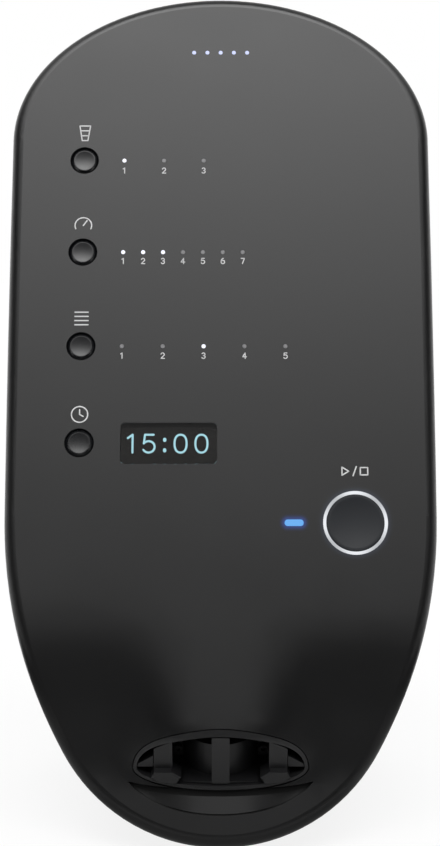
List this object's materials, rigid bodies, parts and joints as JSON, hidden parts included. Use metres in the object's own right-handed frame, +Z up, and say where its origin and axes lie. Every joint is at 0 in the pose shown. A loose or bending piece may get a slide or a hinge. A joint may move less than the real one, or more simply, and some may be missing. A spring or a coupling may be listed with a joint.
{
  "type": "compression therapy pump",
  "caption": "Free-standing air pump with an egg-shaped leaning control face, push buttons, a lit display and an oval hose port in the chin.",
  "frame": {"origin": "centre of the footprint on the table plane the rubber feet rest on", "axes": "+X to the right as seen from the front, +Y towards the back, +Z up; the control face looks towards -Y and leans back 20 degrees"},
  "size_m": [0.1172, 0.1026, 0.2279],
  "materials": {
    "shell_front": "fine satin, moulded",
    "shell_rear": "fine spark texture, moulded",
    "button": "polished",
    "light_pipe": "frosted clear",
    "light_ring": "frosted white",
    "status_light": "frosted blue",
    "window": "smoked clear",
    "trim": "satin",
    "port": "satin, moulded",
    "seal": "matt",
    "foot": "matt",
    "board": "solder mask",
    "chip": "moulded epoxy",
    "led": "moulded",
    "screw": "zinc plated",
    "steel": "turned",
    "motor_can": "plated",
    "casting": "glass-filled nylon",
    "cradle": "moulded",
    "sheet": "folded sheet",
    "manifold": "natural acetal",
    "coil": "lacquered",
    "tube": "silicone",
    "foam": "open-cell foam",
    "cell": "shrink sleeve",
    "tray": "moulded",
    "strap": "woven tape",
    "switch": "moulded"
  },
  "bodies": {
    "housing": {"front_shell": "shell_front", "rear_shell": "shell_rear", "base_plate": "shell_rear", "rubber_feet": "foot", "seam_gasket": "seal", "display_window": "window", "display_module": "chip", "start_light_ring": "light_ring", "battery_light_pipe": "light_pipe", "attachment_light_pipe": "light_pipe", "pressure_light_pipe": "light_pipe", "zone_light_pipe": "light_pipe", "status_light_bar": "status_light", "port_bezel": "trim", "port_block": "port", "port_nozzles": "port", "guide_posts": "port", "port_gasket": "seal", "control_board": "board", "button_switches": "chip", "indicator_leds": "led", "board_chips": "chip", "buzzer": "chip", "board_screws": "screw", "shell_screws": "screw", "base_screws": "screw", "pump_motor": "motor_can", "pump_crankcase": "casting", "pump_rod": "casting", "pump_diaphragm": "seal", "pump_head": "casting", "pump_screws": "screw", "pump_cradle": "cradle", "pump_mounts": "foot", "intake_filter": "foam", "valve_bracket": "sheet", "valve_manifold": "manifold", "valve_coils": "coil", "pressure_sensor": "chip", "zone_tubes": "tube", "pump_tube": "tube", "battery_cells": "cell", "battery_tray": "tray", "battery_strap": "strap", "power_switch_body": "switch", "dc_inlet": "switch"},
    "attachment_button": {"attachment_button": "button"},
    "pressure_button": {"pressure_button": "button"},
    "zone_button": {"zone_button": "button"},
    "time_button": {"time_button": "button"},
    "start_button": {"start_button": "button"},
    "power_rocker": {"power_rocker": "switch"},
    "pump_crank": {"pump_crank": "steel"},
    "valve_plunger_1": {"valve_plunger_1": "steel"},
    "valve_plunger_2": {"valve_plunger_2": "steel"},
    "valve_plunger_3": {"valve_plunger_3": "steel"},
    "valve_plunger_4": {"valve_plunger_4": "steel"},
    "valve_plunger_5": {"valve_plunger_5": "steel"}
  },
  "joints": [
    {"name": "attachment_button_press", "type": "slide", "parent": "housing", "child": "attachment_button", "axis": [0, 0.9397, -0.342], "range_m": [0, 0.0005], "stiffness_N_per_m": 1500},
    {"name": "pressure_button_press", "type": "slide", "parent": "housing", "child": "pressure_button", "axis": [0, 0.9397, -0.342], "range_m": [0, 0.0005], "stiffness_N_per_m": 1500},
    {"name": "zone_button_press", "type": "slide", "parent": "housing", "child": "zone_button", "axis": [0, 0.9397, -0.342], "range_m": [0, 0.0005], "stiffness_N_per_m": 1500},
    {"name": "time_button_press", "type": "slide", "parent": "housing", "child": "time_button", "axis": [0, 0.9397, -0.342], "range_m": [0, 0.0005], "stiffness_N_per_m": 1500},
    {"name": "start_button_press", "type": "slide", "parent": "housing", "child": "start_button", "axis": [0, 0.9397, -0.342], "range_m": [0, 0.0008], "stiffness_N_per_m": 1500},
    {"name": "power_rocker_tilt", "type": "hinge", "parent": "housing", "child": "power_rocker", "pos_m": [-0.014, 0.042, 0.028], "axis": [0, 0, 1], "range_deg": [-16, 0]},
    {"name": "pump_crank_spin", "type": "hinge", "parent": "housing", "child": "pump_crank", "pos_m": [0, 0.014, 0.032], "axis": [1, 0, 0], "continuous": true},
    {"name": "valve_1_lift", "type": "slide", "parent": "housing", "child": "valve_plunger_1", "axis": [0, 0, 1], "range_m": [0, 0.0008], "stiffness_N_per_m": 500},
    {"name": "valve_2_lift", "type": "slide", "parent": "housing", "child": "valve_plunger_2", "axis": [0, 0, 1], "range_m": [0, 0.0008], "stiffness_N_per_m": 500},
    {"name": "valve_3_lift", "type": "slide", "parent": "housing", "child": "valve_plunger_3", "axis": [0, 0, 1], "range_m": [0, 0.0008], "stiffness_N_per_m": 500},
    {"name": "valve_4_lift", "type": "slide", "parent": "housing", "child": "valve_plunger_4", "axis": [0, 0, 1], "range_m": [0, 0.0008], "stiffness_N_per_m": 500},
    {"name": "valve_5_lift", "type": "slide", "parent": "housing", "child": "valve_plunger_5", "axis": [0, 0, 1], "range_m": [0, 0.0008], "stiffness_N_per_m": 500}
  ]
}
